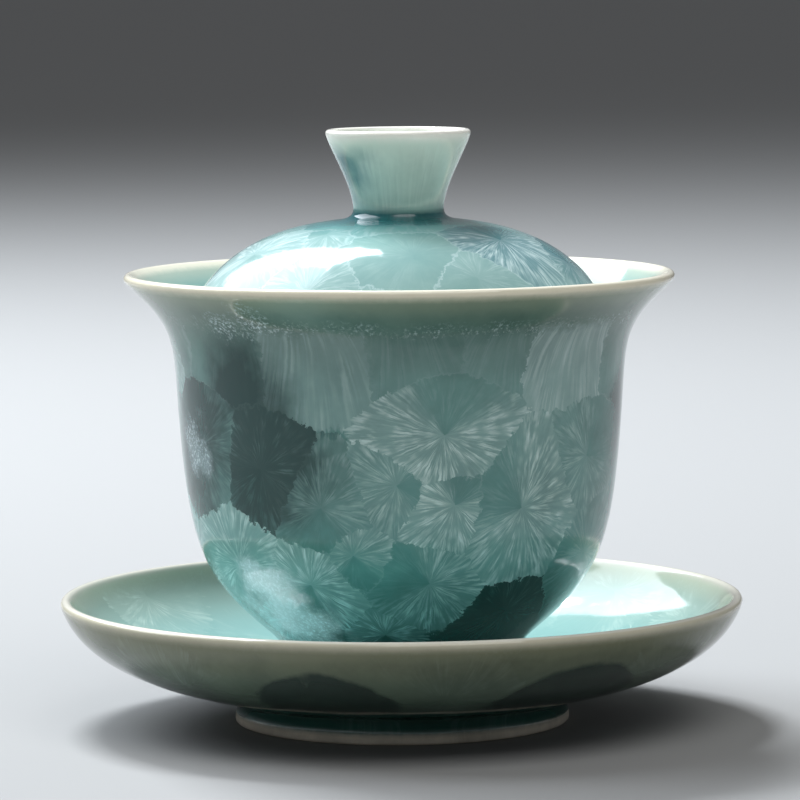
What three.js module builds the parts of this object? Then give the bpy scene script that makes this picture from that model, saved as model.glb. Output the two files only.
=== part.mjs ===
// A gaiwan: a lidded tea bowl on its own saucer, in glazed porcelain.
// Three loose pieces stand on one upright axis. The bowl's foot ring stands in a shallow
// well in the saucer, and the lid's edge rests inside the flare of the bowl.
// Millimetres, +Z up. The origin is the centre of the saucer's foot, on the table.

import * as THREE from "three";

// How finely round shapes are divided.
const TURN_STEPS = 48;
const LIP_STEPS = 5;

// Saucer.
const SAUCER_RADIUS = 59.1;
const SAUCER_HEIGHT = 22.0;
const SAUCER_WALL = 2.7;
const SAUCER_LIP_RADIUS = 1.0;
const SAUCER_FOOT_RADIUS = 29.2;
const SAUCER_FOOT_HEIGHT = 4.7;
const SAUCER_FOOT_FLARE = 1.1; // how far the foot ring leans out from its top to the table
const SAUCER_FOOT_WIDTH = 3.2;
const SAUCER_FOOT_RECESS = 3.2; // depth of the hollow inside the foot ring
const SAUCER_FLOOR = 3.0; // clay between that hollow and the well
const SAUCER_WELL_DEPTH = 1.1;
const SAUCER_WELL_SLOPE = 1.2; // how far the well's edge runs out from its floor to its top

// Bowl, measured from the flat of its own foot.
const BOWL_RIM_RADIUS = 47.5;
const BOWL_HEIGHT = 71.5;
const BOWL_LIP_RADIUS = 0.9;
const BOWL_BODY_RADIUS = 38.0;
const BOWL_BODY_HEIGHT = 43.6; // where the belly ends and the wall starts to open out
const BOWL_WALL = 2.4;
const BOWL_BASE_WALL = 3.0;
const BOWL_FOOT_RADIUS = 19.9;
const BOWL_FOOT_HEIGHT = 6.9;
const BOWL_FOOT_TAPER = 0.6; // how far the foot ring draws in from its top to its flat
const BOWL_FOOT_WIDTH = 2.6;
const BOWL_FOOT_RECESS = 3.9;
const BOWL_FLOOR = 3.7;

// Lid. Its radius follows the bowl, at the height where its edge rests.
const LID_SEAT_DROP = 10.0; // from the bowl's rim down to the lid's edge
const LID_DOME_RISE = 19.1; // from the lid's edge up to the foot of the knob
const LID_WALL = 2.4;
const LID_EDGE_RADIUS = 1.0;
const KNOB_HEIGHT = 15.35; // from the foot of the knob to its rim
const KNOB_RIM_RADIUS = 12.55;
const KNOB_LIP_RADIUS = 0.7;
const KNOB_WAIST_RADIUS = 7.75;
const KNOB_FILLET = 1.85; // height of the hollow curve between the waist and the dome
const KNOB_FILLET_RADIUS = 10.7; // radius at which that curve reaches the dome
const KNOB_WALL = 1.6;
const KNOB_CUP_DEPTH = 13.4;

// Clearances where one piece rests on another.
const BOWL_SEAT_GAP = 0.3; // under the bowl's foot ring
const WELL_GAP = 0.9; // round the bowl's foot ring
const LID_SEAT_GAP = 0.35; // between the lid's edge and the bowl's flare, along the radius

const CELADON = 0x86a79d;
const GLAZE = { color: CELADON, roughness: 0.15, metalness: 0 };

const at = (radius, height) => new THREE.Vector2(radius, height);

// A stretch of a profile, as points.
const bend = (start, handleA, handleB, end, steps) =>
  new THREE.CubicBezierCurve(start, handleA, handleB, end).getPoints(steps);
const sweep = (start, corner, end, steps) =>
  new THREE.QuadraticBezierCurve(start, corner, end).getPoints(steps);

// The inner face of a wall: the outer curve moved inwards, by a wall that changes evenly
// from the curve's foot to its top. It is listed from the top down.
function innerFace([start, handleA, handleB, end], footWall, topWall, steps) {
  const outer = new THREE.CubicBezierCurve(start, handleA, handleB, end);
  const points = [];
  for (let i = steps; i >= 0; i--) {
    const t = i / steps;
    const wall = THREE.MathUtils.lerp(footWall, topWall, t);
    const along = outer.getTangent(t);
    const point = outer.getPoint(t);
    points.push(at(point.x - along.y * wall, point.y + along.x * wall));
  }
  return points;
}

// Where an outer face that ends with this run and rise has to stop, for the round lip on
// its end to reach just this radius and height.
function faceEnd(radius, height, lipRadius, [run, rise]) {
  const length = Math.hypot(run, rise);
  const acrossShare = 1 - rise / length;
  const upShare = 1 + run / length;
  return at(radius - lipRadius * acrossShare, height - lipRadius * upShare);
}

// A rounded lip: an arc from the end of the outer face, over the top, to the inner face.
function lip(outerEnd, innerStart, lipRadius) {
  const across = new THREE.Vector2().subVectors(outerEnd, innerStart);
  const centre = new THREE.Vector2().addVectors(outerEnd, innerStart).multiplyScalar(0.5);
  const points = [];
  for (let i = 1; i < LIP_STEPS; i++) {
    const angle = across.angle() + (Math.PI * i) / LIP_STEPS;
    points.push(at(centre.x + lipRadius * Math.cos(angle), centre.y + lipRadius * Math.sin(angle)));
  }
  return points;
}

// Radius at a height of an inner face that is listed from the top down.
function radiusAtHeight(points, height) {
  const below = points.findIndex((point) => point.y <= height);
  const [high, low] = [points[below - 1], points[below]];
  const share = (high.y - height) / (high.y - low.y);
  return THREE.MathUtils.lerp(high.x, low.x, share);
}

// One piece of porcelain, turned about the upright axis from its profile. The profile runs
// from the axis underneath, out and up over the outside, and back to the axis on top.
function turned(name, profile) {
  const geometry = new THREE.LatheGeometry(profile, TURN_STEPS);
  geometry.rotateX(Math.PI / 2);
  const mesh = new THREE.Mesh(geometry, new THREE.MeshStandardMaterial(GLAZE));
  mesh.name = name;
  return mesh;
}

// Saucer: a shallow dish with an S-shaped side, a foot ring and a well for the bowl.
function saucer() {
  const footTop = SAUCER_FOOT_RADIUS - SAUCER_FOOT_FLARE;
  const rimLean = [2.9, 9];
  const rim = faceEnd(SAUCER_RADIUS, SAUCER_HEIGHT, SAUCER_LIP_RADIUS, rimLean);
  const side = [
    at(footTop, SAUCER_FOOT_HEIGHT),
    at(footTop + 16, SAUCER_FOOT_HEIGHT + 2.1),
    at(rim.x - rimLean[0], rim.y - rimLean[1]),
    rim,
  ];
  const inside = innerFace(side, SAUCER_WALL, 2 * SAUCER_LIP_RADIUS, 9);
  const wellFloor = SAUCER_FOOT_RECESS + SAUCER_FLOOR;
  const wellRadius = BOWL_FOOT_RADIUS + WELL_GAP;
  const wellTop = wellFloor + SAUCER_WELL_DEPTH;
  const ringInside = SAUCER_FOOT_RADIUS - SAUCER_FOOT_WIDTH;
  return turned("saucer", [
    at(0, SAUCER_FOOT_RECESS),
    at(ringInside - 1.6, SAUCER_FOOT_RECESS),
    at(ringInside - 0.4, SAUCER_FOOT_RECESS - 0.8),
    at(ringInside, 0.6),
    at(ringInside + 0.5, 0),
    at(SAUCER_FOOT_RADIUS - 0.5, 0),
    at(SAUCER_FOOT_RADIUS, 0.6),
    ...bend(...side, 9),
    ...lip(rim, inside[0], SAUCER_LIP_RADIUS),
    ...inside,
    at(wellRadius + SAUCER_WELL_SLOPE, wellTop),
    at(wellRadius, wellFloor),
    at(0, wellFloor),
  ]);
}

// The bowl's outer face, from the top of its foot ring to its lip, in two curves that meet
// upright at the body's widest.
const bowlFootTop = at(BOWL_FOOT_RADIUS, BOWL_FOOT_HEIGHT);
const bellyLean = [13.9, 11.2];
const bowlBody = at(BOWL_BODY_RADIUS, BOWL_BODY_HEIGHT);
const flareLean = [9.7, 8.4];
const bowlRim = faceEnd(BOWL_RIM_RADIUS, BOWL_HEIGHT, BOWL_LIP_RADIUS, flareLean);
const BELLY = [
  bowlFootTop,
  at(bowlFootTop.x + bellyLean[0], bowlFootTop.y + bellyLean[1]),
  at(bowlBody.x - 1.8, bowlBody.y - 22.1),
  bowlBody,
];
const FLARE = [
  bowlBody,
  at(bowlBody.x + 1.3, bowlBody.y + 16.4),
  at(bowlRim.x - flareLean[0], bowlRim.y - flareLean[1]),
  bowlRim,
];
const flareInside = innerFace(FLARE, BOWL_WALL, 2 * BOWL_LIP_RADIUS, 9);
const bellyInside = innerFace(BELLY, BOWL_BASE_WALL, BOWL_WALL, 7);

// Bowl: a deep round belly on a foot ring, with a flared lip.
function bowl() {
  const ringFlat = BOWL_FOOT_RADIUS - BOWL_FOOT_TAPER;
  const ringInside = ringFlat - BOWL_FOOT_WIDTH;
  const floorEdge = bellyInside.at(-1);
  const floor = BOWL_FOOT_RECESS + BOWL_FLOOR;
  const floorRun = ((floorEdge.y - floor) * bellyLean[0]) / bellyLean[1];
  return turned("bowl", [
    at(0, BOWL_FOOT_RECESS),
    at(ringInside - 1.2, BOWL_FOOT_RECESS),
    at(ringInside, BOWL_FOOT_RECESS - 1.2),
    at(ringInside, 0.5),
    at(ringInside + 0.5, 0),
    at(ringFlat - 0.5, 0),
    at(ringFlat, 0.5),
    ...bend(...BELLY, 9),
    ...bend(...FLARE, 9).slice(1),
    ...lip(bowlRim, flareInside[0], BOWL_LIP_RADIUS),
    ...flareInside,
    ...bellyInside.slice(1),
    ...sweep(floorEdge, at(floorEdge.x - floorRun, floor), at(0, floor), 4).slice(1),
  ]);
}

// Widest that a lid with a rounded edge can be, to rest in a flare at a height. Each point
// round the edge's lower half keeps the gap from the flare at that point's own height.
function seatRadius(flare, seatHeight, edgeRadius, gap) {
  const limits = [];
  for (let i = 0; i <= LIP_STEPS; i++) {
    const angle = (Math.PI / 2) * (i / LIP_STEPS);
    const height = seatHeight + edgeRadius * (1 - Math.sin(angle));
    const inset = edgeRadius * (1 - Math.cos(angle));
    limits.push(radiusAtHeight(flare, height) - gap + inset);
  }
  return Math.min(...limits);
}

// Lid: a dome with a hollow trumpet-shaped knob, in one piece.
const lidSeatHeight = BOWL_HEIGHT - LID_SEAT_DROP;
const lidRadius = seatRadius(flareInside, lidSeatHeight, LID_EDGE_RADIUS, LID_SEAT_GAP);

function lid() {
  const domeLean = [5.6, 10.7];
  const edgeEnd = faceEnd(lidRadius, 0, LID_EDGE_RADIUS, domeLean);
  const edge = at(edgeEnd.x, -edgeEnd.y);
  const knobFoot = at(KNOB_FILLET_RADIUS, LID_DOME_RISE - 0.3);
  const dome = [
    edge,
    at(edge.x - domeLean[0], edge.y + domeLean[1]),
    at(knobFoot.x + 13.7, knobFoot.y - 1.35),
    knobFoot,
  ];
  const domeInside = innerFace(dome, 2 * LID_EDGE_RADIUS, LID_WALL, 9);
  const waist = at(KNOB_WAIST_RADIUS, knobFoot.y + KNOB_FILLET);
  const knobTop = LID_DOME_RISE + KNOB_HEIGHT;
  const knobLean = [1.27, 3.6];
  const knobRim = faceEnd(KNOB_RIM_RADIUS, knobTop, KNOB_LIP_RADIUS, knobLean);
  const trumpet = [
    waist,
    at(waist.x + 0.1, waist.y + 3.9),
    at(knobRim.x - knobLean[0], knobRim.y - knobLean[1]),
    knobRim,
  ];
  const cup = innerFace(trumpet, KNOB_WALL, 2 * KNOB_LIP_RADIUS, 6);
  const cupFloor = knobTop - KNOB_CUP_DEPTH;
  const cupWall = cup.filter((point) => point.y > cupFloor + 2);
  const cupFoot = cupWall.at(-1);
  return turned("lid", [
    at(0, domeInside[0].y + 0.5),
    ...domeInside,
    ...lip(domeInside.at(-1), edge, LID_EDGE_RADIUS),
    ...bend(...dome, 10),
    ...sweep(knobFoot, at(waist.x, knobFoot.y + 0.2), waist, 4).slice(1),
    ...bend(...trumpet, 7).slice(1),
    ...lip(knobRim, cup[0], KNOB_LIP_RADIUS),
    ...cupWall,
    ...sweep(cupFoot, at(cupFoot.x, cupFloor), at(0, cupFloor), 4).slice(1),
  ]);
}

// The set, stacked on the upright axis.
const gaiwan = new THREE.Group();
const bowlSeat = SAUCER_FOOT_RECESS + SAUCER_FLOOR + BOWL_SEAT_GAP;

const bowlPlace = new THREE.Group();
bowlPlace.position.z = bowlSeat;
const lidPlace = new THREE.Group();
lidPlace.position.z = lidSeatHeight;

lidPlace.add(lid());
bowlPlace.add(bowl(), lidPlace);
gaiwan.add(saucer(), bowlPlace);

export default gaiwan;
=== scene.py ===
# %% [markdown]
# # A gaiwan in crystalline celadon
#
# A gaiwan is a lidded tea bowl on a saucer: three loose pieces of porcelain. Their shapes
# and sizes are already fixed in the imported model, so this lesson loads it first and takes
# every size from it. What is left to make here is the fine, round surface of each piece
# and the glaze, which grew real crystals as the kiln cooled.

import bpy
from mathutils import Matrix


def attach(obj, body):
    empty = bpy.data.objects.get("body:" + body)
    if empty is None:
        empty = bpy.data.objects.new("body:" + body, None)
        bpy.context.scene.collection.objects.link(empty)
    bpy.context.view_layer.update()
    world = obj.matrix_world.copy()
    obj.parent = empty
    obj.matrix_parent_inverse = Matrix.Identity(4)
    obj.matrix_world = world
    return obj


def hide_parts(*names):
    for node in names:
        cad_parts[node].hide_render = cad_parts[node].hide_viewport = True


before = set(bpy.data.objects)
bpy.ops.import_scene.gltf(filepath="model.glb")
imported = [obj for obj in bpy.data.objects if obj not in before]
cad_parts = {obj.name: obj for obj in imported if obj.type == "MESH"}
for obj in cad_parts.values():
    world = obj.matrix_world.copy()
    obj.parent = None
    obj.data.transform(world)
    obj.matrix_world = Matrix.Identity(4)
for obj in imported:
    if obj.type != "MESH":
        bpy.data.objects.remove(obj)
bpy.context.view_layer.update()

# %% Tools that the cells below share
import math
import random

import bmesh
import bpy
from mathutils import Matrix, Vector

MM = 0.001  # the scene is in metres, and a potter measures in millimetres


def linear(hex_colour):
    """The linear colour, with alpha, that Blender wants for an sRGB hex value."""
    channels = [int(hex_colour[i : i + 2], 16) / 255 for i in (1, 3, 5)]
    return [c / 12.92 if c <= 0.04045 else ((c + 0.055) / 1.055) ** 2.4 for c in channels] + [1.0]


# %% [markdown]
# ## The camera
#
# The set is looked at from just above the table, through a long lens that keeps the rims
# as thin ellipses. A wide lens close by would do, but it would swell the front of the rims.
# So the camera stands most of a metre off, and it leans by half a degree, as a hand-held
# one does.

# %% Place the camera
CAMERA_AWAY = 0.8174  # m from the set's axis
CAMERA_HEIGHT = 0.1332  # m over the table, a little above the knob
CAMERA_TILT = math.radians(5.42)  # downwards
CAMERA_LEAN = math.radians(-0.43)
LENS, SENSOR_WIDTH = 214.0, 36.0  # mm

camera = bpy.data.objects.new("camera", bpy.data.cameras.new("camera"))
camera.data.lens = LENS
camera.data.sensor_width = SENSOR_WIDTH
camera.matrix_world = (
    Matrix.Translation((0, -CAMERA_AWAY, CAMERA_HEIGHT))
    @ Matrix.Rotation(math.pi / 2 - CAMERA_TILT, 4, "X")
    @ Matrix.Rotation(CAMERA_LEAN, 4, "Z")
)
bpy.context.scene.collection.objects.link(camera)
bpy.context.scene.camera = camera
print("camera", round(CAMERA_AWAY, 2), "m away, lens", LENS, "mm")

# %% [markdown]
# ## Turning the porcelain
#
# Each piece came off a potter's wheel, so its whole shape is one outline turned about an
# upright axis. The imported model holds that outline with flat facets, which would show on a
# gloss glaze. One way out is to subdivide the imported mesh, but its triangles would pinch.
# It is cleaner to lift the outline out of the mesh, spin it with more steps, and let a
# Subdivision Surface modifier round what is left. The rims and foot rings soften a little
# too, as glaze softens a real edge.

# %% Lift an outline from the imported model
ON_PLANE = 0.002 * MM  # points nearer than this to the section's plane, or each other, are one


def outline_of(node):
    """The half-section of a packed round piece, as a bmesh that holds a string of edges."""
    section = bmesh.new()
    section.from_mesh(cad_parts[node].data)
    bmesh.ops.remove_doubles(section, verts=section.verts, dist=ON_PLANE)
    off_plane = [v for v in section.verts if abs(v.co.y) > ON_PLANE or v.co.x < -ON_PLANE]
    bmesh.ops.delete(section, geom=off_plane, context="VERTS")
    return section


# %% Spin an outline into a piece
SPIN_STEPS = 96
ROUNDING_LEVELS = 2  # so 384 steps round a rim once it is subdivided


def turn_piece(name, node):
    """A finished round piece: the node's outline, spun, closed, smoothed and on its body."""
    turned = outline_of(node)
    points = len(turned.verts)
    bmesh.ops.spin(
        turned,
        geom=turned.verts[:] + turned.edges[:],
        cent=(0, 0, 0),
        axis=(0, 0, 1),
        angle=math.tau,
        steps=SPIN_STEPS,
        use_merge=True,
    )
    bmesh.ops.remove_doubles(turned, verts=turned.verts, dist=ON_PLANE)
    bmesh.ops.recalc_face_normals(turned, faces=turned.faces)
    for face in turned.faces:
        face.smooth = True
    mesh = bpy.data.meshes.new(name)
    turned.to_mesh(mesh)
    turned.free()
    piece = bpy.data.objects.new(name, mesh)
    bpy.context.scene.collection.objects.link(piece)
    rounding = piece.modifiers.new("rounding", "SUBSURF")
    rounding.levels = rounding.render_levels = ROUNDING_LEVELS
    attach(piece, node)
    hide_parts(node)
    print(name, "from", points, "outline points:", len(mesh.polygons), "faces")
    return piece


saucer = turn_piece("saucer_porcelain", "saucer")
bowl = turn_piece("bowl_porcelain", "bowl")
lid = turn_piece("lid_porcelain", "lid")

# %% [markdown]
# ## Where the crystals start
#
# A crystalline glaze is fired until it is a liquid, then cooled slowly. Zinc silicate
# crystals start at scattered specks and grow outwards until they meet, so the surface ends
# up parted among its specks, with the early ones holding the most ground. That is a
# Voronoi pattern with a different reach for each speck. Blender's Voronoi texture gives
# every cell the same reach and no choice of place, so here each speck is listed: the
# showpieces on the front one by one, and the rest scattered with a fixed seed.

# %% Read a piece's surface from its outline
def edges_of(node):
    """The outline of a piece as pairs of (radius, height) points in mm."""
    section = outline_of(node)
    pairs = [[(v.co.x / MM, v.co.z / MM) for v in edge.verts] for edge in section.edges]
    section.free()
    return pairs


OUTLINES = {node: edges_of(node) for node in ("saucer", "bowl", "lid")}


def crossings(node, axis, at):
    """The (radius, height) points in mm where a node's outline crosses one radius or height."""
    found = []
    for a, b in OUTLINES[node]:
        if (a[axis] - at) * (b[axis] - at) <= 0 and a[axis] != b[axis]:
            share = (at - a[axis]) / (b[axis] - a[axis])
            found.append((a[0] + share * (b[0] - a[0]), a[1] + share * (b[1] - a[1])))
    return found


def on_wall(node, turn, height):
    """The point of a node's outer wall at a turn in degrees from the front and a height."""
    radius = max(point[0] for point in crossings(node, 1, height))
    around = math.radians(turn)
    return Vector((radius * math.sin(around), -radius * math.cos(around), height))


def on_top(node, turn, radius):
    """The point of a node's upper face at a turn in degrees from the front and a radius."""
    height = max(point[1] for point in crossings(node, 0, radius))
    around = math.radians(turn)
    return Vector((radius * math.sin(around), -radius * math.cos(around), height))


# %% List the specks of the bowl
# turn and height of the speck, reach in mm, the way its fan opens in degrees from the
# right, and how pale the fan is
BOWL_SHOWPIECES = (
    (11, 53.3, 17.0, -100, 1.0),
    (14, 41.5, 14.0, -120, 0.95),
    (33, 40.4, 17.5, -30, 0.90),
    (-1, 45.0, 12.0, 175, 0.60),
    (8, 28.0, 12.5, -20, 0.75),
    # the fans at turns -27 and -41, low on the left, are pale crystals made paler still, as a
    # painted reflection of the light that the saucer throws up
    (-27, 27.5, 12.0, 60, 1.00),
    (-41, 21.0, 11.0, 150, 0.90),
    (-13, 33.0, 10.0, 100, 0.70),
    (-38, 47.0, 13.5, 40, 0.22),
    (-21, 41.0, 13.0, 80, 0.40),
    (-52, 30.0, 14.0, 100, 0.85),
    (-62, 50.0, 15.0, -60, 0.22),
    (15, 71.5, 7.0, 180, 0.65),
    (56, 48.0, 13.5, -150, 0.45),
    (63, 31.0, 14.0, 90, 0.30),
    (36, 22.0, 11.5, 0, 0.22),
    (-6, 18.5, 8.0, 90, 0.60),
)
# crystals that started on the thin glaze above and ran down it: the height is where their
# needles would meet, above the part that shows
BOWL_CURTAINS = (
    (-43, 92.0, 37.5, -90, 0.05),
    (-22, 94.0, 40.5, -90, 0.58),
    (-3, 92.0, 37.0, -90, 0.22),
    (29, 92.0, 35.5, -90, 0.28),
    (49, 94.0, 39.5, -90, 0.95),
    (68, 92.0, 37.0, -90, 0.15),
    (-70, 94.0, 36.0, -90, 0.10),
    (115, 92.0, 35.0, -90, 0.35),
    (160, 94.0, 38.0, -90, 0.60),
    (205, 92.0, 34.0, -90, 0.25),
    (250, 93.0, 36.0, -90, 0.45),
)
CURTAIN_WALL = 68.0  # mm, the height of the wall that a curtain's speck is set out from
CURTAINS_FROM = 80.0  # mm, specks above this height are curtains

# %% List the drifts and the frost of the bowl, with painted shade and painted reflection
# turn and height of the middle of a drift of deep glaze, and its size in mm
BOWL_DRIFTS_AND_PAINTED_SHADE = (
    (-43, 58.0, 15.0),
    (-34, 47.0, 13.5),
    # the drift at turn -70, on the left edge, is partly painted shade: it darkens the pale
    # reflection of the floor there, on glaze that is darker on that side
    (-70, 52.0, 15.0),
    (78, 52.0, 13.0),
    (40, 22.0, 13.0),
    (17, 16.0, 9.0),
    (-5, 14.0, 8.0),
    (-22, 17.0, 6.0),
    (110, 50.0, 18.0),
    (150, 25.0, 15.0),
    (185, 58.0, 16.0),
    (225, 35.0, 18.0),
    (255, 62.0, 13.0),
)
# turn and height of the middle of a patch of frost, tiny crystals, and its size in mm; the
# two low patches on the left, at turns -40 and -46, are partly a painted reflection of the
# light that the saucer throws up onto the bowl
BOWL_FROST_AND_PAINTED_REFLECTION = (
    (-40, 20.5, 12.5),
    (-46, 28.0, 7.0),
    (-66, 50.0, 7.0),
    (-44, 72.0, 4.5),
    (-35, 71.6, 4.5),
    (120, 30.0, 8.0),
    (200, 66.0, 9.0),
)

# %% Two helpers that set out specks
SPECK_SEED = 12
TRIES = 300  # places tried for scattered specks, most of which fall too near another one
FAR_SPACING = 13.0  # mm between specks at the least
FAR_TURNS, FAR_HEIGHTS = (85, 275), (17, 71)  # degrees and mm
FAR_REACH, FAR_PALENESS = (11, 18), (0.2, 0.9)  # mm, and from 0 to 1


def scatter(rng, tries, spacing, place, kept):
    """Adds points from place(rng) that stay the spacing away from all the points kept."""
    for _ in range(tries):
        point = place(rng)
        if all((point - other).length > spacing for other in kept):
            kept.append(point)
    return kept


def fan_at(outwards, angle, paleness):
    """The way a fan opens, as a vector along the surface whose length is its paleness."""
    right = Vector((0, 0, 1)).cross(outwards) if abs(outwards.z) < 0.5 else Vector((1, 0, 0))
    up = outwards.cross(right)
    return (right * math.cos(angle) + up * math.sin(angle)) * paleness


# %% Set out the specks of the bowl
rng = random.Random(SPECK_SEED)
bowl_specks = []
for turn, height, reach, angle, paleness in BOWL_SHOWPIECES + BOWL_CURTAINS:
    speck = on_wall("bowl", turn, CURTAIN_WALL if height > CURTAINS_FROM else height)
    speck.z = height
    outwards = Vector((speck.x, speck.y, 0)).normalized()
    bowl_specks.append((speck, reach, fan_at(outwards, math.radians(angle), paleness)))

far_side = scatter(
    rng,
    TRIES,
    FAR_SPACING,
    lambda r: on_wall("bowl", r.uniform(*FAR_TURNS), r.uniform(*FAR_HEIGHTS)),
    [speck for speck, _, _ in bowl_specks],
)[len(bowl_specks) :]
for speck in far_side:
    outwards = Vector((speck.x, speck.y, 0)).normalized()
    fan = fan_at(outwards, rng.uniform(0, math.tau), rng.uniform(*FAR_PALENESS))
    bowl_specks.append((speck, rng.uniform(*FAR_REACH), fan))
print(len(bowl_specks), "specks on the bowl,", len(far_side), "of them scattered")

# %% List the specks of the lid and the saucer
# turn and radius of the speck, reach, the way its fan opens, and how pale it is
LID_SHOWPIECES = (
    (0, 0.0, 23.0, 0, 0.45),
    (50, 22.4, 16.0, -60, 0.80),
    (-65, 27.0, 15.0, 60, 0.95),
    (-40, 19.0, 9.0, -60, 0.55),
    (5, 26.0, 14.0, 150, 0.12),
    (25, 31.0, 13.0, 60, 0.32),
    (75, 30.0, 12.0, -30, 0.50),
    (-28, 33.0, 12.0, 90, 0.50),
    (-5, 36.0, 10.0, 90, 0.35),
    (-85, 20.0, 11.0, 20, 0.40),
)
# as for the bowl: the two highest lie on the knob
LID_DRIFTS = (
    (48, 84.0, 12.0),
    (78, 82.0, 12.0),
    (-80, 93.0, 9.0),
    (170, 80.0, 14.0),
    (130, 93.5, 8.0),
)
SAUCER_SHOWPIECES = (
    (-13, 38.0, 13.0, 90, 0.35),
    (32, 38.0, 15.0, 60, 0.35),
    (-46, 49.0, 14.0, 150, 0.70),
    (57, 50.0, 15.0, 0, 0.30),
    (8, 50.0, 13.0, 0, 0.35),
    (-80, 45.0, 16.0, 0, 0.40),
)
# these show under the rim as dark lens shapes
SAUCER_DRIFTS = (
    (-15, 9.3, 12.5),
    (34, 9.0, 14.0),
    (3, 6.5, 4.0),
    (-58, 7.0, 10.0),
    (95, 8.0, 12.0),
    (165, 7.5, 12.0),
    (235, 8.0, 11.0),
)

# %% Set out the specks of the lid and the saucer
TOP_TRIES = 200
BEHIND = (95, 265)  # degrees
TOP_REACH, TOP_PALENESS = (9, 15), (0.25, 0.8)
LID_RING, LID_SPACING = (14, 36), 12.0  # mm, between which radii, and how far apart
SAUCER_RING, SAUCER_SPACING = (6, 55), 15.0


def top_specks(node, showpieces, ring, spacing):
    """The specks on a piece seen from above: its showpieces, then scattered ones behind."""
    low, high = ring
    points = scatter(
        rng,
        TOP_TRIES,
        spacing,
        lambda r: on_top(node, r.uniform(*BEHIND), math.sqrt(r.uniform(low**2, high**2))),
        [on_top(node, turn, radius) for turn, radius, _, _, _ in showpieces],
    )
    specks = []
    for i, speck in enumerate(points):
        # drawn for every speck, and replaced by the listed values on a showpiece
        reach = rng.uniform(*TOP_REACH)
        angle = rng.uniform(0, 360)
        paleness = rng.uniform(*TOP_PALENESS)
        if i < len(showpieces):
            reach, angle, paleness = showpieces[i][2:]
        fan = fan_at(Vector((0, 0, 1)), math.radians(angle), paleness)
        specks.append((speck, reach, fan))
    return specks


lid_specks = top_specks("lid", LID_SHOWPIECES, LID_RING, LID_SPACING)
saucer_specks = top_specks("saucer", SAUCER_SHOWPIECES, SAUCER_RING, SAUCER_SPACING)
print(len(lid_specks), "specks on the lid,", len(saucer_specks), "on the saucer")

# %% [markdown]
# ## Building a glaze from nodes
#
# A glaze material is long, so one small function adds each node, fills its inputs and
# hands back its output. Everything is worked out from Object coordinates, in millimetres,
# because a glaze is thick or thin by where it is on the pot, and a crystal is as big as it
# grew, whatever its neighbour's mesh is like. A UV map would do too, but it would stretch
# the crystals on the dome and tear them at a seam.

# %% A function that adds a node
def add(tree, kind, inputs, **settings):
    """Adds a node, gives its settings, fills or links its inputs, and returns its output."""
    node = tree.nodes.new(kind)
    for setting, value in settings.items():
        setattr(node, setting, value)
    for socket, value in inputs.items():
        if isinstance(socket, str):
            socket = next(i for i, s in enumerate(node.inputs) if s.enabled and s.name == socket)
        if isinstance(value, bpy.types.NodeSocket):
            tree.links.new(value, node.inputs[socket])
        else:
            node.inputs[socket].default_value = value
    return next(output for output in node.outputs if output.enabled)


# %% [markdown]
# ## Which crystal holds a point
#
# Each speck reaches out over its own radius, so the crystal that holds a point is the one
# whose speck leaves the most of its reach there: reach minus distance. A chain of nodes
# goes through the specks and keeps the best so far, with its place and the way its fan
# opens. The runner-up is kept too, because where it comes close the two crystals meet.

# %% Find the winning crystal
OUT_OF_REACH = -40.0  # mm, what a point has before any speck is tried
FIRST_FAN = (0, 0, 0.3)


def nearest_crystal(tree, place, specks):
    """Sockets for the winning crystal: speck, fan, depth in its reach, and lead on the next."""
    speck, fan = Vector((0, 0, 0)), Vector(FIRST_FAN)
    inside = runner_up = OUT_OF_REACH
    for at, reach, opening in specks:
        away = add(
            tree, "ShaderNodeVectorMath", {0: place, 1: at}, operation="DISTANCE"
        ).node.outputs["Value"]
        depth = add(tree, "ShaderNodeMath", {0: reach, 1: away}, operation="SUBTRACT")
        wins = add(tree, "ShaderNodeMath", {0: depth, 1: inside}, operation="GREATER_THAN")
        speck = add(
            tree, "ShaderNodeMix", {"Factor": wins, "A": speck, "B": at}, data_type="VECTOR"
        )
        fan = add(
            tree, "ShaderNodeMix", {"Factor": wins, "A": fan, "B": opening}, data_type="VECTOR"
        )
        loser = add(tree, "ShaderNodeMath", {0: depth, 1: inside}, operation="MINIMUM")
        runner_up = add(tree, "ShaderNodeMath", {0: loser, 1: runner_up}, operation="MAXIMUM")
        inside = add(tree, "ShaderNodeMath", {0: depth, 1: inside}, operation="MAXIMUM")
    lead = add(tree, "ShaderNodeMath", {0: inside, 1: runner_up}, operation="SUBTRACT")
    return speck, fan, inside, lead


# %% [markdown]
# ## The needles of a crystal
#
# Close up, each crystal is a fan of fine needles that spread from its speck. A direction
# does not change along a needle, so noise that is read at the direction from the speck,
# and only slowly at the distance, draws needles without any trigonometry. A second, coarser
# noise bunches them into tufts. Real needles are about a tenth of a millimetre wide. They
# are drawn several times as wide here, or they would be finer than a render can show.

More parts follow.
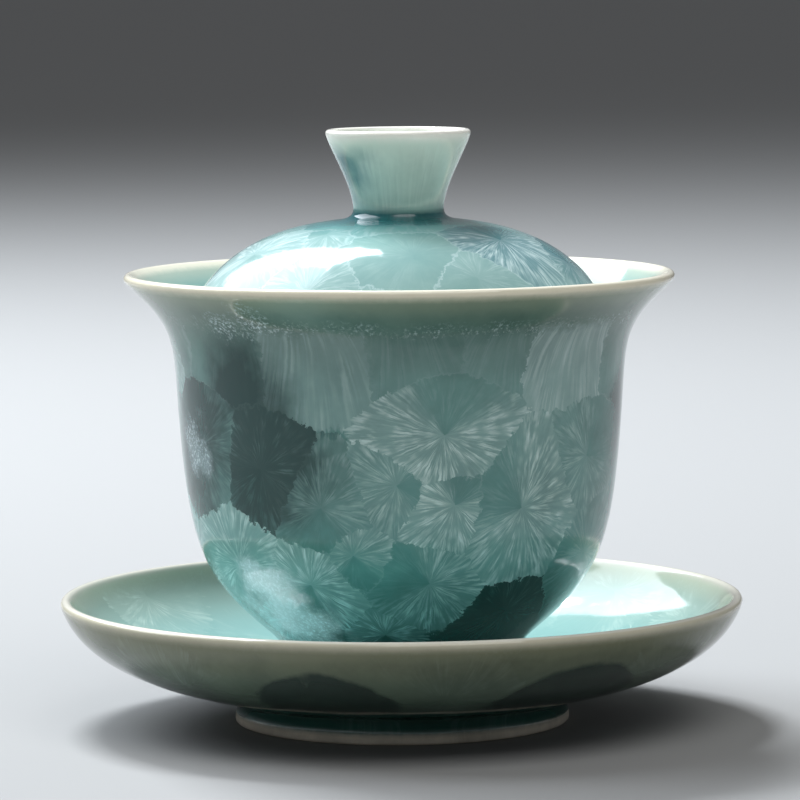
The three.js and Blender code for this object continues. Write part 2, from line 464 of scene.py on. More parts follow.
# %% Choose the sizes of needles and tufts
NEEDLE_WIDTH = 0.6  # mm, at the distance below from the speck
MEASURED_AT = 10.0  # mm from the speck
NEEDLE_LENGTH = 4.8  # mm
TUFT_WIDTH = 2.9
TUFT_LENGTH = 3.3
CURTAIN_NEEDLE_WIDTH = 0.7  # mm, at the distance below from where its needles would meet
CURTAIN_MEASURED_AT = 30.0
CURTAIN_NEEDLE_LENGTH = 20.0
CURTAIN_TUFT_WIDTH = 2.1
CURTAIN_TUFT_LENGTH = 6.7
CURTAIN_CALM, CALM_TONE = 0.5, 0.3  # a curtain goes half of the way to an even tone
BARE_HEART = (0.6, 2.2)  # mm from the speck, over which the needles come out of its heart
NEEDLE_RANGE, TUFT_RANGE = (0.42, 0.66), (0.38, 0.62)  # of noise, from glaze to full needle
IN_HEART, BETWEEN_TUFTS, BEHIND_FAN = 0.25, 0.12, 0.12  # how strong needles stay there
FAN_EDGE = (-0.95, -0.3)  # cosines from the way a fan opens, between which it fades in

# how much of the noise's fine detail the needles and the tufts have
NEEDLE_DETAIL, TUFT_DETAIL = 2.6, 1.0

# scales of the two noises: features on the unit circle, and features per mm outwards
STROKE_NOISES = (
    (
        (MEASURED_AT / NEEDLE_WIDTH, CURTAIN_MEASURED_AT / CURTAIN_NEEDLE_WIDTH),
        (1 / NEEDLE_LENGTH, 1 / CURTAIN_NEEDLE_LENGTH),
        NEEDLE_DETAIL,
    ),
    (
        (MEASURED_AT / TUFT_WIDTH, CURTAIN_MEASURED_AT / CURTAIN_TUFT_WIDTH),
        (1 / TUFT_LENGTH, 1 / CURTAIN_TUFT_LENGTH),
        TUFT_DETAIL,
    ),
)
print("about", round(math.tau * MEASURED_AT / NEEDLE_WIDTH), "needles round a whole crystal")


# %% Find the way from the speck
def is_curtain(tree, speck):
    """A socket that is 1 where the winning speck lies above the glaze, and otherwise 0."""
    height = add(tree, "ShaderNodeSeparateXYZ", {0: speck}).node.outputs["Z"]
    return add(tree, "ShaderNodeMath", {0: height, 1: CURTAINS_FROM}, operation="GREATER_THAN")


def way_from(tree, place, speck, flat):
    """Sockets for the way from the speck along the surface, how far, and the way outwards."""
    out = Vector((0, 0, 1))
    if not flat:
        out = add(tree, "ShaderNodeVectorMath", {0: speck, 1: (1, 1, 0)}, operation="MULTIPLY")
        out = add(tree, "ShaderNodeVectorMath", {0: out}, operation="NORMALIZE")
    reach = add(tree, "ShaderNodeVectorMath", {0: place, 1: speck}, operation="SUBTRACT")
    proud = add(
        tree, "ShaderNodeVectorMath", {0: reach, 1: out}, operation="DOT_PRODUCT"
    ).node.outputs["Value"]
    lift = add(tree, "ShaderNodeVectorMath", {0: out, "Scale": proud}, operation="SCALE")
    along = add(tree, "ShaderNodeVectorMath", {0: reach, 1: lift}, operation="SUBTRACT")
    far = add(tree, "ShaderNodeVectorMath", {0: along}, operation="LENGTH").node.outputs["Value"]
    way = add(tree, "ShaderNodeVectorMath", {0: along}, operation="NORMALIZE")
    return way, far, out


# %% Draw the needles
def needles(tree, place, speck, fan, flat):
    """Sockets for stroke strength, fan strength and paleness round the winning speck."""
    way, far, out = way_from(tree, place, speck, flat)
    curtain = 0.0 if flat else is_curtain(tree, speck)
    fields = []
    for around, length, detail in STROKE_NOISES:
        around = add(tree, "ShaderNodeMix", {"Factor": curtain, "A": around[0], "B": around[1]})
        length = add(tree, "ShaderNodeMix", {"Factor": curtain, "A": length[0], "B": length[1]})
        spread = add(tree, "ShaderNodeVectorMath", {0: way, "Scale": around}, operation="SCALE")
        length = add(tree, "ShaderNodeMath", {0: far, 1: length}, operation="MULTIPLY")
        length = add(tree, "ShaderNodeVectorMath", {0: out, "Scale": length}, operation="SCALE")
        seed = add(tree, "ShaderNodeVectorMath", {0: spread, 1: speck}, operation="ADD")
        read_at = add(tree, "ShaderNodeVectorMath", {0: seed, 1: length}, operation="ADD")
        fields.append(
            add(
                tree,
                "ShaderNodeTexNoise",
                {"Vector": read_at, "Scale": 1.0, "Detail": detail, "Roughness": 0.65},
            )
        )
    strokes = add(
        tree,
        "ShaderNodeMapRange",
        {"Value": fields[0], "From Min": NEEDLE_RANGE[0], "From Max": NEEDLE_RANGE[1]},
    )
    tufts = add(
        tree,
        "ShaderNodeMapRange",
        {
            "Value": fields[1],
            "From Min": TUFT_RANGE[0],
            "From Max": TUFT_RANGE[1],
            "To Min": BETWEEN_TUFTS,
        },
    )
    heart = add(
        tree,
        "ShaderNodeMapRange",
        {"Value": far, "From Min": BARE_HEART[0], "From Max": BARE_HEART[1], "To Min": IN_HEART},
    )
    strokes = add(tree, "ShaderNodeMath", {0: strokes, 1: tufts}, operation="MULTIPLY")
    strokes = add(tree, "ShaderNodeMath", {0: strokes, 1: heart}, operation="MULTIPLY")
    calm = add(tree, "ShaderNodeMath", {0: curtain, 1: CURTAIN_CALM}, operation="MULTIPLY")
    strokes = add(tree, "ShaderNodeMix", {"Factor": calm, "A": strokes, "B": CALM_TONE})

    # a crystal is pale on the side that its fan opens to, and dim behind
    opens = add(tree, "ShaderNodeVectorMath", {0: fan}, operation="NORMALIZE")
    facing = add(
        tree, "ShaderNodeVectorMath", {0: way, 1: opens}, operation="DOT_PRODUCT"
    ).node.outputs["Value"]
    within = add(
        tree,
        "ShaderNodeMapRange",
        {
            "Value": facing,
            "From Min": FAN_EDGE[0],
            "From Max": FAN_EDGE[1],
            "To Min": BEHIND_FAN,
        },
        interpolation_type="SMOOTHSTEP",
    )
    paleness = add(tree, "ShaderNodeVectorMath", {0: fan}, operation="LENGTH").node.outputs["Value"]
    return strokes, within, paleness


# %% [markdown]
# ## Ragged edges
#
# Two crystals meet in a line of small teeth, not in a clean curve. Shifting the point that
# is looked up, by noise with features of about two millimetres, tears every edge at once.
# The needles take a small share of the same shift, so that they waver as grown ones do.

# %% Shift the places that are looked up
EDGE_TEETH = 1.8  # mm from tooth to tooth
EDGE_SHIFT = 3.8  # mm, the whole range of the shift, of which most points use a third
NEEDLE_WAVE = 0.14  # the share of that shift that the needles take


def shifted_places(tree, place):
    """Sockets for a place with the full shift, for edges, and with a share, for needles."""
    shift = add(
        tree,
        "ShaderNodeTexNoise",
        {"Vector": place, "Scale": 1 / EDGE_TEETH, "Detail": 4.0, "Roughness": 0.66},
    ).node.outputs["Color"]
    shift = add(
        tree, "ShaderNodeVectorMath", {0: shift, 1: (0.5, 0.5, 0.5)}, operation="SUBTRACT"
    )
    shift = add(tree, "ShaderNodeVectorMath", {0: shift, "Scale": EDGE_SHIFT}, operation="SCALE")
    ragged = add(tree, "ShaderNodeVectorMath", {0: place, 1: shift}, operation="ADD")
    wavy = add(
        tree,
        "ShaderNodeMix",
        {"Factor": NEEDLE_WAVE, "A": place, "B": ragged},
        data_type="VECTOR",
    )
    return ragged, wavy


# %% [markdown]
# ## Drifts of deep glaze, froth and frost
#
# Where the molten glaze ran thick, it is deep and dark, and fewer needles show. Where it
# ran thin near a rim, no large crystal could grow, and a froth of tiny ones marks the line.
# Patches of the same tiny crystals crowd together elsewhere and scatter light like frost.
# On the bowl, one drift is partly painted shade, and low frost is partly painted reflection.
# Painting these as a mask would do, but spots that are listed by place and size move with
# the shape, and one noise makes their outlines uneven.

# %% Measure how far a place is inside a spot
SPOT_UNEVEN = 6.0  # mm from bulge to bulge in a spot's outline


def inside_spots(tree, at, spots, core, wobble):
    """A socket from 0, outside all the (middle, size) spots, to 1, within the core of one."""
    inside = 0.0
    for middle, size in spots:
        away = add(
            tree, "ShaderNodeVectorMath", {0: at, 1: middle}, operation="DISTANCE"
        ).node.outputs["Value"]
        away = add(tree, "ShaderNodeMath", {0: away, 1: wobble}, operation="ADD")
        near = add(
            tree,
            "ShaderNodeMapRange",
            {"Value": away, "From Min": size, "From Max": core * size},
            interpolation_type="SMOOTHSTEP",
        )
        inside = add(tree, "ShaderNodeMath", {0: inside, 1: near}, operation="MAXIMUM")
    return inside


def wobble_by(tree, place, most):
    """A socket in mm that pushes a spot's outline in and out by up to about half of most."""
    wobble = add(
        tree, "ShaderNodeTexNoise", {"Vector": place, "Scale": 1 / SPOT_UNEVEN, "Detail": 3.0}
    )
    return add(
        tree,
        "ShaderNodeMapRange",
        {"Value": wobble, "To Min": -most, "To Max": most},
        clamp=False,
    )


# %% Make the glaze deep in drifts, and paint shade with one of them
CLOUD_SIZE = 10.0  # mm, the thickness of a poured glaze also varies a little everywhere
CLOUD_RANGE = (0.35, 0.68)  # of noise, from no cloud to its most
CLOUD_DEPTH = 0.35


def drifts_and_painted_shade(tree, place, wavy, speck, flat, look):
    """Sockets for the glaze's depth and painted shade, 0 to 1, and for the faint cloud in it."""
    # a crystal takes up much the same depth of glaze all over, so a drift follows its edges
    to_speck = look["by_crystal"]
    if not flat:
        to_speck = add(
            tree,
            "ShaderNodeMapRange",
            {"Value": is_curtain(tree, speck), "To Min": to_speck, "To Max": 0.0},
        )
    at = add(tree, "ShaderNodeMix", {"Factor": to_speck, "A": wavy, "B": speck}, data_type="VECTOR")
    drift_and_painted_shade = inside_spots(
        tree, at, look["drifts_and_painted_shade"], look["drift_core"], wobble_by(tree, place, look["wobble"])
    )
    cloud = add(
        tree,
        "ShaderNodeTexNoise",
        {"Vector": place, "Scale": 1 / CLOUD_SIZE, "Detail": 4.0, "Roughness": 0.6},
    )
    cloud = add(
        tree,
        "ShaderNodeMapRange",
        {
            "Value": cloud,
            "From Min": CLOUD_RANGE[0],
            "From Max": CLOUD_RANGE[1],
            "To Max": CLOUD_DEPTH,
        },
    )
    return add(tree, "ShaderNodeMath", {0: drift_and_painted_shade, 1: cloud}, operation="ADD"), cloud


# %% Scatter the tiny crystals
GRAIN_SIZE = 0.6  # mm, a clot of crystals that are each too fine to show
GRAIN_RANGE = (0.5, 0.66)  # of noise, from clear glaze to a whole grain
FROTH_HALF_WIDTH, FROTH_CORE = 1.8, 0.3  # mm from the line, where froth ends and is full
CLOUD_FOR_FROTH, LEAST_FROTH = (0.08, 0.24), 0.1  # froth is thick only where cloud is
FROST_AND_PAINTED_REFLECTION_CORE = 0.2
FROST_AND_PAINTED_REFLECTION_WOBBLE = 7.0  # mm
HAZE_HEIGHTS = (60.0, 25.0)  # mm, where frost gains an even haze, a painted reflection low down
HAZE, GRIT = 0.75, 0.8  # how much of a patch is even haze low down, and how much is grains


def tiny_crystals(tree, place, ragged, height, from_line, cloud, look):
    """Sockets for the froth along its line and for the patches of frost and painted reflection."""
    grains = add(
        tree,
        "ShaderNodeTexNoise",
        {"Vector": place, "Scale": 1 / GRAIN_SIZE, "Detail": 3.0, "Roughness": 0.7},
    )
    grains = add(
        tree,
        "ShaderNodeMapRange",
        {
            "Value": grains,
            "From Min": GRAIN_RANGE[0],
            "From Max": GRAIN_RANGE[1],
            "To Max": look["froth"],
        },
    )
    off_line = add(tree, "ShaderNodeMath", {0: from_line}, operation="ABSOLUTE")
    line = add(
        tree,
        "ShaderNodeMapRange",
        {"Value": off_line, "From Min": FROTH_HALF_WIDTH, "From Max": FROTH_CORE},
    )
    patchy = add(
        tree,
        "ShaderNodeMapRange",
        {
            "Value": cloud,
            "From Min": CLOUD_FOR_FROTH[0],
            "From Max": CLOUD_FOR_FROTH[1],
            "To Min": LEAST_FROTH,
        },
    )
    froth = add(tree, "ShaderNodeMath", {0: grains, 1: line}, operation="MULTIPLY")
    froth = add(tree, "ShaderNodeMath", {0: froth, 1: patchy}, operation="MULTIPLY")

    frost_and_painted_reflection = inside_spots(
        tree, ragged, look["frost_and_painted_reflection"], FROST_AND_PAINTED_REFLECTION_CORE, wobble_by(tree, place, FROST_AND_PAINTED_REFLECTION_WOBBLE)
    )
    haze = add(
        tree,
        "ShaderNodeMapRange",
        {
            "Value": height,
            "From Min": HAZE_HEIGHTS[0],
            "From Max": HAZE_HEIGHTS[1],
            "To Max": HAZE,
        },
    )
    grit = add(tree, "ShaderNodeMath", {0: grains, 1: GRIT, 2: haze}, operation="MULTIPLY_ADD")
    frost_and_painted_reflection = add(tree, "ShaderNodeMath", {0: frost_and_painted_reflection, 1: grit}, operation="MULTIPLY", use_clamp=True)
    return froth, frost_and_painted_reflection


# %% [markdown]
# ## Colour by height
#
# A glaze runs down a pot while it melts. It ends thin and creamy on a rim, where the clay
# shows through, even on the wall, and deep in a pool above the foot. Since that follows
# height, a colour ramp over height gives each piece its ground colour. A wall has one ramp
# for its outer side and one for its inner side, told apart by the way the surface faces.

# %% Tell height and side
GLAZE_TOP = 110.0  # mm, the height that the top end of a colour ramp stands for
SIDE_EDGE = 0.2  # how softly the inner side turns into the outer one over a lip


def colour_by_height(tree, bands, band):
    """A colour socket from (height in mm, hex colour) pairs."""
    colour = add(tree, "ShaderNodeValToRGB", {"Fac": band})
    points = colour.node.color_ramp.elements
    while len(points) < len(bands):
        points.new(0.5)
    for point, (height, hex_colour) in zip(points, bands):
        point.position = height / GLAZE_TOP
        point.color = linear(hex_colour)
    return colour


def on_inner_side(tree, place, normal):
    """A socket that is 1 on a face that points up or towards the axis, and otherwise 0."""
    rim_way = add(tree, "ShaderNodeVectorMath", {0: place, 1: (1, 1, 0)}, operation="MULTIPLY")
    rim_way = add(tree, "ShaderNodeVectorMath", {0: rim_way}, operation="NORMALIZE")
    inward_way = add(
        tree, "ShaderNodeVectorMath", {0: (0, 0, 1), 1: rim_way}, operation="SUBTRACT"
    )
    inwards = add(
        tree, "ShaderNodeVectorMath", {0: normal, 1: inward_way}, operation="DOT_PRODUCT"
    ).node.outputs["Value"]
    return add(
        tree,
        "ShaderNodeMapRange",
        {"Value": inwards, "From Min": -SIDE_EDGE, "From Max": SIDE_EDGE},
    )


# %% [markdown]
# ## Crystals over the glaze
#
# Crystals lie in the glaze as pale strokes. They cover it only up to the height where it
# ran thin, and they end in a fringe, because the needles did not all grow to one length.
# Where two crystals met, what they pushed ahead of them froze as a pale seam. Deep glaze
# does the opposite: it darkens the ground, and veils the needles that lie under it.

# %% Cover the glaze with crystals
FRINGE = 2.2  # mm that needles stick out past the end of their crystal's reach
FRINGE_EDGE = (0.6, 1.4)  # mm, from clear glaze to crystal
COVER_EDGE = 1.0  # mm above and below the line that crystals grow up to


def crystal_cover(tree, strokes, inside, rough_height, look):
    """A socket from 0, clear glaze, to 1, crystals."""
    fringe = add(
        tree, "ShaderNodeMath", {0: strokes, 1: FRINGE, 2: inside}, operation="MULTIPLY_ADD"
    )
    covered = add(
        tree,
        "ShaderNodeMapRange",
        {"Value": fringe, "From Min": FRINGE_EDGE[0], "From Max": FRINGE_EDGE[1]},
    )
    highest = look["crystals_up_to"]
    below = add(
        tree,
        "ShaderNodeMapRange",
        {
            "Value": rough_height,
            "From Min": highest + COVER_EDGE,
            "From Max": highest - COVER_EDGE,
        },
    )
    return add(tree, "ShaderNodeMath", {0: covered, 1: below}, operation="MULTIPLY")


# %% Make the crystals pale
SHEEN = 0.26  # how pale a crystal is between its needles
SEAM_WIDTH, SEAM_CORE = 0.7, 0.1  # mm of lead over the next crystal


def crystal_paleness(tree, strokes, within, paleness, lead, covered, look):
    """A socket for how pale the crystals are: strokes on a sheen, in their fan, and seams."""
    bright = add(tree, "ShaderNodeMath", {0: strokes, 1: 1.0, 2: SHEEN}, operation="MULTIPLY_ADD")
    bright = add(tree, "ShaderNodeMath", {0: bright, 1: within}, operation="MULTIPLY")
    bright = add(tree, "ShaderNodeMath", {0: bright, 1: paleness}, operation="MULTIPLY")
    seam = add(
        tree,
        "ShaderNodeMapRange",
        {
            "Value": lead,
            "From Min": SEAM_WIDTH,
            "From Max": SEAM_CORE,
            "To Max": look["seam"],
        },
    )
    bright = add(tree, "ShaderNodeMath", {0: bright, 1: seam}, operation="MAXIMUM")
    return add(tree, "ShaderNodeMath", {0: bright, 1: covered}, operation="MULTIPLY")


# %% Darken the ground under deep glaze and painted shade
NEEDLES_IN_DEEP = 0.7  # the share of a drift's depth that is left over a needle
LIP_FADE = 2.5  # mm below a lip, where deep glaze thins out


def darkening(tree, drift_and_painted_shade, strokes, height, look):
    """A socket for how far the ground goes to the colour of deep glaze."""
    between = add(
        tree, "ShaderNodeMapRange", {"Value": strokes, "To Min": 1.0, "To Max": NEEDLES_IN_DEEP}
    )
    deep = add(tree, "ShaderNodeMath", {0: drift_and_painted_shade, 1: between}, operation="MULTIPLY")
    deep = add(tree, "ShaderNodeMath", {0: deep, 1: look["depth"]}, operation="MULTIPLY")
    off_lip = add(
        tree,
        "ShaderNodeMapRange",
        {"Value": height, "From Min": look["lip"], "From Max": look["lip"] - LIP_FADE},
    )
    return add(tree, "ShaderNodeMath", {0: deep, 1: off_lip}, operation="MULTIPLY")


# %% Tell the two sides of a wall apart
def on_both_sides(tree, inner_side, band, ground, bright, deep, frost_and_painted_reflection, look):
    """Ground, paleness, depth and frost with painted reflection, with the outer side's on that
    side.
    """
    outer = colour_by_height(tree, look["outside"], band)
    ground = add(
        tree,
        "ShaderNodeMix",
        {"Factor": inner_side, "A": outer, "B": ground},
        data_type="RGBA",
    )
    show = add(
        tree,
        "ShaderNodeMapRange",
        {"Value": inner_side, "To Min": look["show"][0], "To Max": look["show"][1]},
    )
    bright = add(tree, "ShaderNodeMath", {0: bright, 1: show}, operation="MULTIPLY")
    # glaze that is poured out of a piece again stays thin inside: no drifts and no frost, so no
    # painted shade and no painted reflection either
    thick = add(tree, "ShaderNodeMapRange", {"Value": inner_side, "To Min": 1.0, "To Max": 0.0})
    deep = add(tree, "ShaderNodeMath", {0: deep, 1: thick}, operation="MULTIPLY")
    frost_and_painted_reflection = add(tree, "ShaderNodeMath", {0: frost_and_painted_reflection, 1: thick}, operation="MULTIPLY")
    return ground, bright, deep, frost_and_painted_reflection


# %% Mix the colours
FROST_AND_PAINTED_REFLECTION_COLOUR = "#D9EFF4"  # crystals too fine to see one by one scatter light like snow; also painted reflection


def mixed_colour(tree, band, ground, bright, deep, frost_and_painted_reflection, look):
    """A colour socket: ground, deepened, then crystals, then frost and painted reflection over all.
    """
    ground = add(
        tree,
        "ShaderNodeMix",
        {"Factor": deep, "A": ground, "B": linear(look["deep"])},
        data_type="RGBA",
    )
    colour = add(
        tree,
        "ShaderNodeMix",
        {"Factor": bright, "A": ground, "B": colour_by_height(tree, look["pale"], band)},
        data_type="RGBA",
    )
    return add(
        tree,
        "ShaderNodeMix",
        {"Factor": frost_and_painted_reflection, "A": colour, "B": linear(FROST_AND_PAINTED_REFLECTION_COLOUR)},
        data_type="RGBA",
    )


# %% [markdown]
# ## Gloss and relief
#
# Clear glaze is glass, so it mirrors lamps sharply. Crystals that end just under the
# surface dull it a little, and bare clay is rough. A poured glaze is never quite flat, and
# its needles stand proud by a few microns. That could be real relief in the mesh, but it is
# so low that a bump does for it, and gives it to the reflections, which is where it shows.

# %% Make the glaze glossy and the clay rough
CLEAR_GLOSS, CRYSTAL_GLOSS, CLAY_ROUGH = 0.07, 0.17, 0.75
CLAY_EDGE = 0.15  # mm


def gloss(tree, bright, height, look):
    """A socket for the roughness of clear glaze, of crystals and of bare clay."""
    glazed = add(
        tree,
        "ShaderNodeMapRange",
        {"Value": bright, "To Min": CLEAR_GLOSS, "To Max": CRYSTAL_GLOSS},
    )
    clay = add(
        tree,
        "ShaderNodeMapRange",
        {
            "Value": height,
            "From Min": look["bare_below"] + CLAY_EDGE,
            "From Max": look["bare_below"] - CLAY_EDGE,
        },
    )
    return add(tree, "ShaderNodeMix", {"Factor": clay, "A": glazed, "B": CLAY_ROUGH})


# %% Let the surface swell
RIPPLE_SIZE = 9.0  # mm from one swell of the poured glaze to the next
RIPPLE_HEIGHT = 0.12 * MM
NEEDLES_PROUD = 0.05  # of the ripple's height, so 6 microns


def relief(tree, place, strokes):
    """A socket for the normal of a surface with swells and with needles that stand proud."""
    ripple = add(
        tree, "ShaderNodeTexNoise", {"Vector": place, "Scale": 1 / RIPPLE_SIZE, "Detail": 1.0}
    )
    raised = add(
        tree, "ShaderNodeMath", {0: strokes, 1: NEEDLES_PROUD, 2: ripple}, operation="MULTIPLY_ADD"
    )
    return add(
        tree, "ShaderNodeBump", {"Height": raised, "Strength": 1.0, "Distance": RIPPLE_HEIGHT}
    )


# %% [markdown]
# ## The whole glaze
#
# The material is a crystalline celadon glaze on porcelain: iron in a clear glaze makes it
# green, and zinc makes the crystals. Its index of refraction is that of such a glass, 1.52.
# One function puts it together, so that the three pieces differ only in their specks and
# in a table of colours and shares.

# %% Put a glaze together
GLASS_IOR = 1.52
FROTH_ABOVE = 0.3  # mm from the line that crystals grow up to, to the middle of the froth


def crystal_glaze(name, specks, flat, look):
    """A glossy glaze with crystals. A flat piece's needles spread level, not up a wall."""
    material = bpy.data.materials.new(name)
    material.use_nodes = True
    tree = material.node_tree
    shader = tree.nodes["Principled BSDF"]

    # places in mm: as they are, torn for edges, and wavy for needles
    coordinates = add(tree, "ShaderNodeTexCoord", {}).node.outputs
    place = add(
        tree,
        "ShaderNodeVectorMath",
        {0: coordinates["Object"], "Scale": 1 / MM},
        operation="SCALE",
    )
    height = add(tree, "ShaderNodeSeparateXYZ", {0: place}).node.outputs["Z"]
    ragged, wavy = shifted_places(tree, place)
    rough_height = add(tree, "ShaderNodeSeparateXYZ", {0: ragged}).node.outputs["Z"]

    # the large crystals
    speck, fan, inside, lead = nearest_crystal(tree, ragged, specks)
    strokes, within, paleness = needles(tree, wavy, speck, fan, flat)
    covered = crystal_cover(tree, strokes, inside, rough_height, look)
    bright = crystal_paleness(tree, strokes, within, paleness, lead, covered, look)

    # deep glaze, and painted shade in one drift, darken the ground and veil the needles
    drift_and_painted_shade, cloud = drifts_and_painted_shade(tree, place, wavy, speck, flat, look)
    deep = darkening(tree, drift_and_painted_shade, strokes, height, look)
    clear = add(
        tree, "ShaderNodeMapRange", {"Value": drift_and_painted_shade, "To Min": 1.0, "To Max": look["veiled"]}
    )
    bright = add(tree, "ShaderNodeMath", {0: bright, 1: clear}, operation="MULTIPLY")

    # the tiny crystals, and the painted reflection in their frost
    froth_line = look["crystals_up_to"] + FROTH_ABOVE
    from_line = add(
        tree, "ShaderNodeMath", {0: rough_height, 1: froth_line}, operation="SUBTRACT"
    )
    froth, frost_and_painted_reflection = tiny_crystals(tree, place, ragged, height, from_line, cloud, look)
    bright = add(tree, "ShaderNodeMath", {0: bright, 1: froth}, operation="MAXIMUM")

    # colours, by height and side
    settled = add(
        tree, "ShaderNodeMix", {"Factor": look["ragged_bands"], "A": height, "B": rough_height}
    )
    band = add(tree, "ShaderNodeMath", {0: settled, 1: GLAZE_TOP}, operation="DIVIDE")
    ground = colour_by_height(tree, look["ground"], band)
    if look["outside"]:
        inner_side = on_inner_side(tree, place, coordinates["Normal"])
        ground, bright, deep, frost_and_painted_reflection = on_both_sides(
            tree, inner_side, band, ground, bright, deep, frost_and_painted_reflection, look
        )
    colour = mixed_colour(tree, band, ground, bright, deep, frost_and_painted_reflection, look)

    tree.links.new(colour, shader.inputs["Base Color"])
    tree.links.new(gloss(tree, bright, height, look), shader.inputs["Roughness"])
    tree.links.new(relief(tree, place, strokes), shader.inputs["Normal"])
    shader.inputs["IOR"].default_value = GLASS_IOR
    print(name, "has", len(tree.nodes), "nodes for", len(specks), "crystals")
    return material


# %% [markdown]
# ## The bowl's glaze
#
# The bowl shows the most: large fans across the belly, streaked curtains that ran down from
# the flare, dark crystals in deep glaze on one side, and frost low on the other. That low
# frost and the pale fans by it are partly a painted reflection of the light that the saucer
# throws up, and the drift on the left edge is partly painted shade. Its outside is deep
# green-blue, its flare is sage where the glaze is thinner, its inside is lighter, and its
# lip is cream. Below the pool of glaze, the foot ring stands on a line of bare clay.

# %% Glaze the bowl
# heights are in mm, and shares run from 0 to 1
BOWL_LOOK = {
    "ground": (  # the glaze's colour by height, on the inner side
        (6.5, "#B9A88A"),
        (7.4, "#3B7B74"),
        (14.0, "#5FA79D"),
        (60.0, "#80AEA2"),
        (74.0, "#84AAA4"),
        (76.6, "#AFBEB0"),
        (77.4, "#EAE5D2"),
    ),
    "outside": (  # and on the outer side
        (6.5, "#B9A88A"),
        (7.4, "#2C5A56"),
        (14.5, "#0D3832"),
        (19.5, "#1C5650"),
        (24.5, "#3D807B"),
        (30.5, "#59A29C"),
        (40.0, "#558C87"),
        (62.0, "#618F88"),
        (69.5, "#567A70"),
        (73.0, "#677F71"),
        (75.8, "#8A9680"),
        (77.0, "#E9E2CA"),
    ),
    "show": (1.0, 0.6),  # how much of the crystals shows on the outer and on the inner side
    "pale": (  # the colour of a needle by height
        (7.0, "#3F7A74"),
        (18.0, "#A9E2E4"),
        (32.0, "#BFE3E1"),
        (42.0, "#C3DED8"),
        (70.0, "#C0D4D2"),
    ),
    "deep": "#083D3A",  # the colour of deep glaze
    "depth": 0.95,  # how far a drift goes to that colour
    "drift_core": 0.35,  # the share of a drift's size that is fully deep
    "wobble": 4.0,  # mm that a drift's outline wanders
    "by_crystal": 0.5,  # how closely a drift keeps to whole crystals
    "veiled": 0.25,  # how much of the needles is left in a drift
    "froth": 0.7,  # how strong froth and grains are
    "frost_and_painted_reflection": [(on_wall("bowl", turn, height), size) for turn, height, size in BOWL_FROST_AND_PAINTED_REFLECTION],
    "drifts_and_painted_shade": [(on_wall("bowl", turn, height), size) for turn, height, size in BOWL_DRIFTS_AND_PAINTED_SHADE],
    "crystals_up_to": 70.5,
    "seam": 0.18,  # how pale the line is where two crystals meet
    "ragged_bands": 0.12,  # how ragged the colour bands' edges are
    "lip": 76.0,
    "bare_below": 7.2,
}
bowl.data.materials.append(
    crystal_glaze("crystal_celadon_on_bowl", bowl_specks, False, BOWL_LOOK)
)

# %% [markdown]
# ## The lid's glaze
#
# The dome faces the light, so its glaze looks lighter and bluer, and pale seams run where
# its crystals meet. Glaze collects in a dark ring in the corner at the knob's foot. The knob
# itself is pale, streaked upwards by the crystal that started on the axis, and ends in a
# cream lip. Both sides of the dome share one set of bands, since only the top shows.

# %% Glaze the lid
LID_LOOK = {
    "ground": (
        (68.0, "#9FB9B5"),
        (84.5, "#8AB0AA"),
        (86.4, "#5C9895"),
        (87.0, "#184C4E"),
        (88.1, "#184C4E"),
        (89.0, "#93BFB3"),
        (92.0, "#C0DACE"),
        (100.0, "#D9E4D6"),
        (101.4, "#F6F3E8"),
    ),
    "outside": (),
    "pale": (
        (68.0, "#D2E5E4"),
        (85.0, "#CBE1E1"),
        (87.0, "#2F6E6E"),
        (88.1, "#2F6E6E"),
        (90.0, "#CFE6DC"),
        (100.5, "#DCE9DC"),
    ),
    "deep": "#30727A",
    "depth": 0.75,
    "drift_core": 0.3,
    "wobble": 4.0,
    "by_crystal": 0.4,
    "veiled": 0.9,
    "froth": 0.0,
    "frost_and_painted_reflection": [],
    "drifts_and_painted_shade": [(on_wall("lid", turn, height), size) for turn, height, size in LID_DRIFTS],
    "crystals_up_to": 100.6,
    "seam": 0.5,
    "ragged_bands": 0.08,
    "lip": 100.3,
    "bare_below": 0.0,
}
lid.data.materials.append(
    crystal_glaze("crystal_celadon_on_lid", lid_specks, True, LID_LOOK)
)

# %% [markdown]
# ## The saucer's glaze
#
# The saucer is the quietest piece: pale blue-green inside, and a sage outside that is painted
# darker and more olive as shade under the rim, with a few crystals so faint that they read as
# darker lens shapes. Its lip is cream, and its foot ring is a band of deep glaze over a clear
# line of bare clay.

# %% Glaze the saucer
SAUCER_LOOK = {
    "ground": (
        (6.0, "#88BBB6"),
        (12.0, "#93BCB6"),
        (18.0, "#A4BBAF"),
        (20.8, "#C6CFBA"),
        (21.6, "#DAD6C8"),
    ),
    # the outer side from 7 mm up is darker and more olive than its glaze, as painted shade under
    # the rim
    "outside": (
        (0.0, "#F2E9D6"),
        (1.6, "#EFE5D0"),
        (2.0, "#2C5F56"),
        (4.6, "#2A4D44"),
        (7.0, "#465D50"),
        (14.0, "#5C6D5B"),
        (20.0, "#7B7E65"),
        (21.4, "#C4BFA9"),
    ),
    "show": (0.12, 0.8),
    "pale": (
        (4.0, "#BFE0D8"),
        (20.0, "#D6E8DC"),
    ),
    "deep": "#24372F",
    "depth": 1.0,
    "drift_core": 0.88,
    "wobble": 1.0,
    "by_crystal": 0.0,
    "veiled": 0.5,
    "froth": 0.25,
    "frost_and_painted_reflection": [],
    "drifts_and_painted_shade": [(on_wall("saucer", turn, height), size) for turn, height, size in SAUCER_DRIFTS],
    "crystals_up_to": 19.5,
    "seam": 0.25,
    "ragged_bands": 0.1,
    "lip": 20.5,
    "bare_below": 1.8,
}
saucer.data.materials.append(
    crystal_glaze("crystal_celadon_on_saucer", saucer_specks, True, SAUCER_LOOK)
)

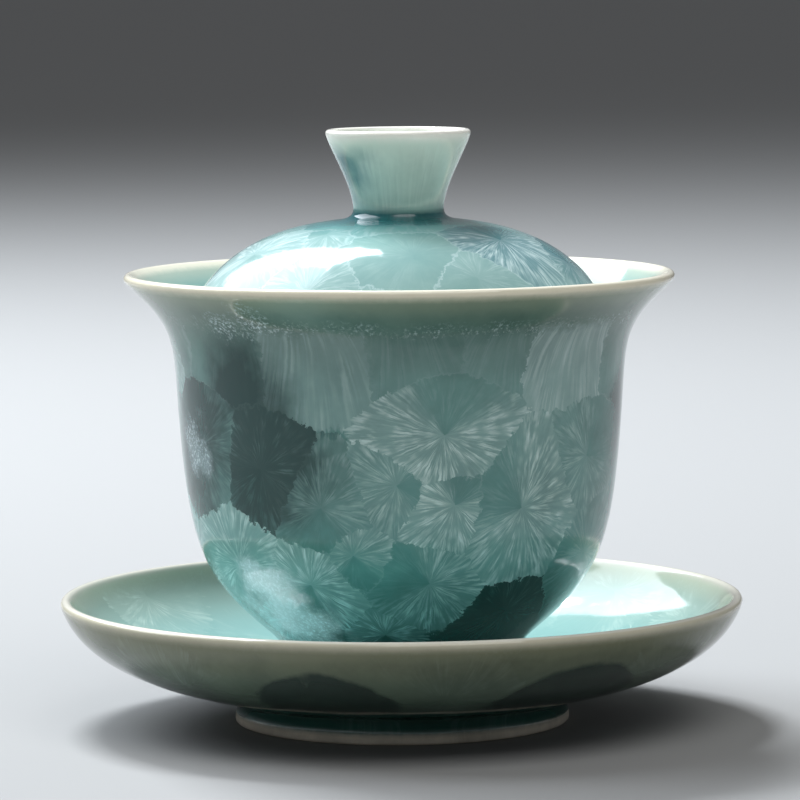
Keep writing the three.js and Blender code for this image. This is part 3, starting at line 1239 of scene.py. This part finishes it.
# %% [markdown]
# ## The stage
#
# A plain pale floor runs on behind the set. A gloss glaze shows every lamp as a shape, so
# the lamps are large and few: a wide soft box behind on the left, as a window would be, a
# small bright one above it, which puts the spark on the lid and on the saucer, and a faint
# fill from the front. A lit sky all round would be simpler, but it would wash out the glaze.

# %% Lay the floor
FLOOR_SIDE = 60.0  # m, so wide that its far edge is out of the camera's view
FLOOR_GREY = "#9F9F9E"
FLOOR_ROUGH, FLOOR_SHINE = 0.95, 0.1

bpy.ops.mesh.primitive_plane_add(size=FLOOR_SIDE, location=(0, 0, 0))
floor = bpy.context.object
floor.name = "floor"
paper = bpy.data.materials.new("matt_paper_floor")
paper.use_nodes = True
paper_shader = paper.node_tree.nodes["Principled BSDF"]
paper_shader.inputs["Base Color"].default_value = linear(FLOOR_GREY)
paper_shader.inputs["Roughness"].default_value = FLOOR_ROUGH
paper_shader.inputs["Specular IOR Level"].default_value = FLOOR_SHINE
floor.data.materials.append(paper)
print("floor", FLOOR_SIDE, "m a side")

# %% Hang the lamps
SET_MIDDLE = Vector((0, 0, 0.06))  # m, what every lamp faces
# turn from behind and rise in degrees, distance, width and height in m, power in W, colour
LAMPS = {
    "window_behind_left": (-57, 45, 1.4, 1.45, 1.0, 26.0, "#EFF6FF"),
    "window_pane": (-26, 58, 1.4, 0.42, 0.24, 25.0, "#F4F9FF"),
    "fill_in_front": (160, 55, 1.6, 1.2, 1.0, 10.0, "#FFFFFF"),
}
STUDIO_COLOUR, STUDIO_LIGHT = "#F2F5FA", 0.22  # of the empty studio round the set


def soft_box(name, turn, rise, distance, width, height, power, colour):
    """A rectangular lamp that faces the set."""
    lamp = bpy.data.lights.new(name, "AREA")
    lamp.shape = "RECTANGLE"
    lamp.size, lamp.size_y = width, height
    lamp.energy = power
    lamp.color = linear(colour)[:3]
    holder = bpy.data.objects.new(name, lamp)
    turn, rise = math.radians(turn), math.radians(rise)
    towards = Vector(
        (math.sin(turn) * math.cos(rise), math.cos(turn) * math.cos(rise), math.sin(rise))
    )
    holder.location = SET_MIDDLE + towards * distance
    holder.rotation_euler = towards.to_track_quat("Z", "Y").to_euler()
    bpy.context.scene.collection.objects.link(holder)
    print(name, "gives", power, "W over", width, "by", height, "m")


for name, settings in LAMPS.items():
    soft_box(name, *settings)

world = bpy.data.worlds.new("studio")
bpy.context.scene.world = world
world.use_nodes = True
world.node_tree.nodes["Background"].inputs["Color"].default_value = linear(STUDIO_COLOUR)
world.node_tree.nodes["Background"].inputs["Strength"].default_value = STUDIO_LIGHT
bpy.context.scene.view_settings.view_transform = "Standard"
